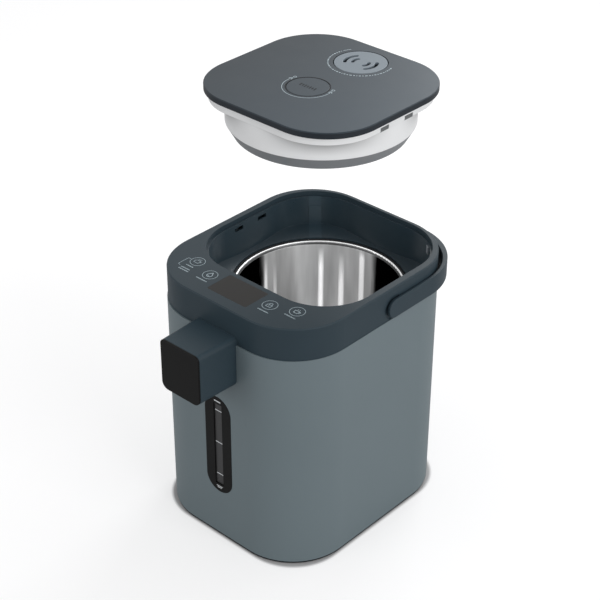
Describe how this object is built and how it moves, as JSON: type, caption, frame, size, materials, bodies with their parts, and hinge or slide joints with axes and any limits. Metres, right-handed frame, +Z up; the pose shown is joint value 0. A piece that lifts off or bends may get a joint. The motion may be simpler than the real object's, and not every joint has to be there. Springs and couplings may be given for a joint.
{
  "type": "electric thermo pot",
  "caption": "Rounded-rectangular electric thermo pot with a lift-off locking lid, steel pot, pump-fed front spout, level window, touch deck and rear swing handle.",
  "frame": {"origin": "middle of the body's footprint on the surface it stands on, in the plane of the foot ring's underside", "axes": "+Z up, -Y to the front with the spout and control deck, +X to the right side seen from the front"},
  "size_m": [0.23, 0.3268, 0.489],
  "materials": {
    "shell_paint": "satin blue-grey paint",
    "slate_plastic": "fine satin moulded slate plastic",
    "lid_slate": "smooth satin slate-blue plastic",
    "vent_blue": "smooth satin light slate-blue plastic",
    "black_gloss": "smooth near-black plastic",
    "white_plastic": "satin bluish-white moulded plastic",
    "seal_silicone": "mid-grey silicone",
    "black_rubber": "matte black rubber",
    "clear_silicone": "milky silicone",
    "pot_steel": "polished stainless steel",
    "plain_steel": "plain stainless steel",
    "heater_aluminium": "cast aluminium",
    "clear_plastic": "clear plastic and glass",
    "board_green": "green circuit board",
    "dark_plastic": "dark moulded plastic",
    "sensor_grey": "light grey plastic",
    "felt": "needled fibre sleeve"
  },
  "bodies": {
    "root": {"outer_shell": "shell_paint", "top_collar": "slate_plastic", "well_liner": "slate_plastic", "spout_housing": "slate_plastic", "outlet_nozzle": "slate_plastic", "base_pan": "slate_plastic", "display_window": "black_gloss", "spout_face": "black_gloss", "gauge_frame": "black_gloss", "pump_housing": "white_plastic", "pump_cover": "white_plastic", "tip_valve_body": "white_plastic", "tip_valve_cap": "white_plastic", "thermal_fuse": "white_plastic", "pot_gasket": "black_rubber", "foot_ring": "black_rubber", "shaft_seal": "black_rubber", "touch_pads": "black_rubber", "suction_hose": "clear_silicone", "delivery_hose": "clear_silicone", "gauge_sleeve": "clear_silicone", "spout_hose": "clear_silicone", "inner_pot": "pot_steel", "heating_element": "plain_steel", "motor_case": "plain_steel", "motor_bracket": "plain_steel", "tie_rods": "plain_steel", "body_screws": "plain_steel", "spout_screws": "plain_steel", "inlet_pins": "plain_steel", "heater_plate": "heater_aluminium", "gauge_lens": "clear_plastic", "gauge_tube": "clear_plastic", "control_board": "board_green", "power_board": "board_green", "display_module": "dark_plastic", "board_components": "dark_plastic", "thermostats": "dark_plastic", "inlet_socket": "dark_plastic", "lid_sensor": "sensor_grey", "insulation_sleeve": "felt"},
    "rotor": {"impeller": "white_plastic", "motor_rotor": "plain_steel"},
    "valve_ball": {"tip_valve_ball": "plain_steel"},
    "handle": {"handle": "slate_plastic", "handle_washers": "plain_steel", "handle_screws": "plain_steel"},
    "lid": {"lid_plate": "lid_slate", "lid_body": "white_plastic", "lid_seal": "seal_silicone", "lid_inner_cover": "plain_steel", "lid_screws": "plain_steel", "vent_gasket": "black_rubber"},
    "lock": {"lock_cam": "white_plastic", "button_spring": "plain_steel"},
    "button": {"lid_button": "lid_slate"},
    "latch_right": {"latch_right": "dark_plastic"},
    "latch_left": {"latch_left": "dark_plastic"},
    "vent": {"vent_cap": "vent_blue"},
    "steam_ball": {"steam_ball": "plain_steel"}
  },
  "joints": [
    {"name": "lid_lift", "type": "slide", "parent": "root", "child": "lid", "axis": [0, 0, 1], "range_m": [-0.1875, 0]},
    {"name": "lock_turn", "type": "hinge", "parent": "lid", "child": "lock", "pos_m": [0, 0.0046, 0.4712], "axis": [0, 0, 1], "range_deg": [0, 60]},
    {"name": "button_press", "type": "slide", "parent": "lock", "child": "button", "axis": [0, 0, -1], "range_m": [0, 0.003], "stiffness_N_per_m": 300, "springref_m": -0.003, "deforming": ["button_spring"]},
    {"name": "latch_right_slide", "type": "slide", "parent": "lid", "child": "latch_right", "axis": [1, 0, 0], "range_m": [0, 0.0065]},
    {"name": "latch_left_slide", "type": "slide", "parent": "lid", "child": "latch_left", "axis": [-1, 0, 0], "range_m": [0, 0.0065]},
    {"name": "vent_turn", "type": "hinge", "parent": "lid", "child": "vent", "pos_m": [0, 0.0842, 0.48], "axis": [0, 0, 1], "range_deg": [0, 30]},
    {"name": "steam_ball_lift", "type": "slide", "parent": "lid", "child": "steam_ball", "axis": [0, 0, 1], "range_m": [0, 0.012]},
    {"name": "handle_swing", "type": "hinge", "parent": "root", "child": "handle", "pos_m": [0, 0.014, 0.2762], "axis": [1, 0, 0], "range_deg": [0, 90]},
    {"name": "impeller_spin", "type": "hinge", "parent": "root", "child": "rotor", "pos_m": [0, -0.048, 0.033], "axis": [0, 0, 1], "continuous": true},
    {"name": "tip_ball_lift", "type": "slide", "parent": "root", "child": "valve_ball", "axis": [0, 0, 1], "range_m": [0, 0.024]}
  ],
  "couplings": [
    {"joint": "latch_right_slide", "follows": "lock_turn", "m_per_rad": 0.006207},
    {"joint": "latch_left_slide", "follows": "lock_turn", "m_per_rad": 0.006207}
  ]
}
